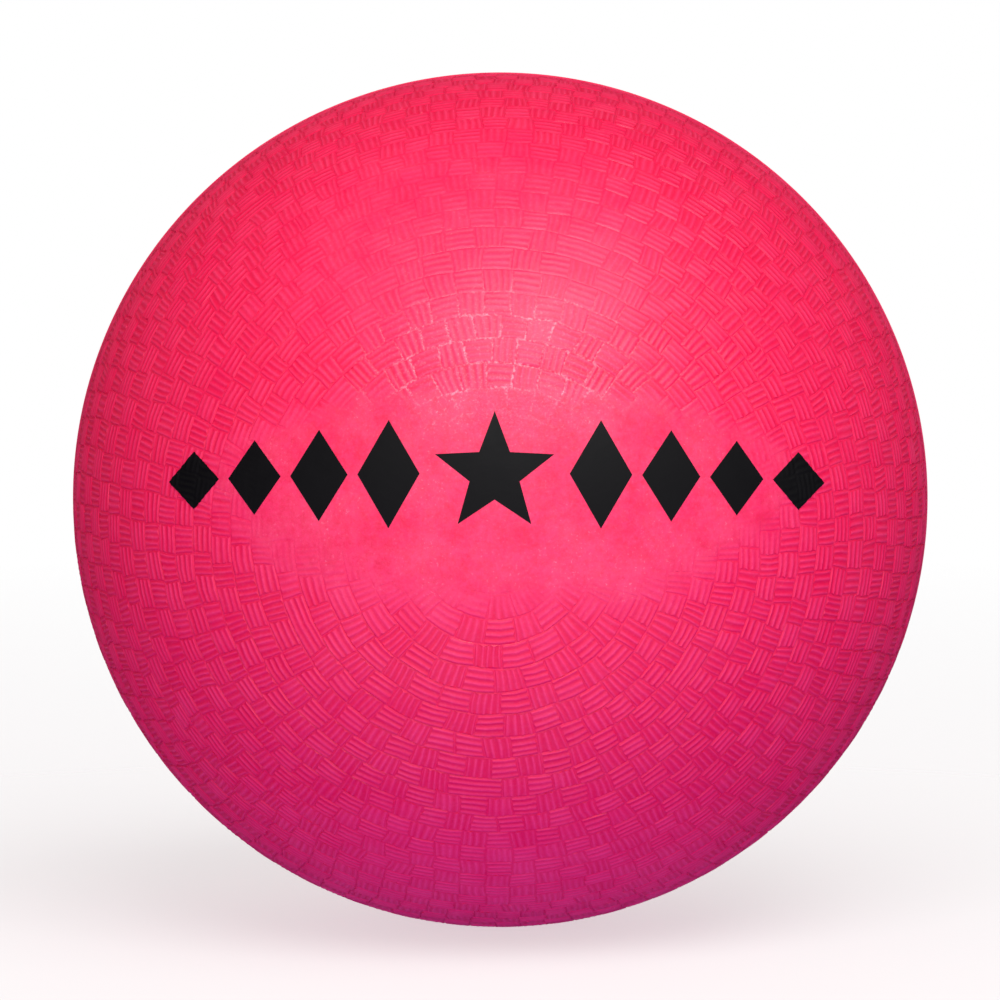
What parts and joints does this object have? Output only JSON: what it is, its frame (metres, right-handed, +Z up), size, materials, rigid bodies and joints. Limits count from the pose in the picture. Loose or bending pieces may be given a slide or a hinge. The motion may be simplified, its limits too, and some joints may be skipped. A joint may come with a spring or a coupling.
{
  "type": "playground ball",
  "caption": "Inflated round rubber playground ball with a moulded basket-weave cover, a smooth printed front band and a flush needle valve at the back.",
  "frame": {"origin": "centre of the ball", "axes": "+Y from the centre to the valve at the back pole, -Y to the printed front, +Z up, +X to the right seen from the front"},
  "size_m": [0.2164, 0.2158, 0.2164],
  "materials": {
    "cover_rubber": "satin moulded rubber with a basket weave",
    "bladder_rubber": "smooth black rubber",
    "valve_rubber": "smooth black rubber",
    "print_ink": "matte black ink"
  },
  "bodies": {
    "root": {"cover_front_half": "cover_rubber", "cover_back_half": "cover_rubber", "bladder": "bladder_rubber", "valve_housing": "bladder_rubber", "valve_plug": "valve_rubber", "print_mark": "print_ink"}
  },
  "joints": []
}
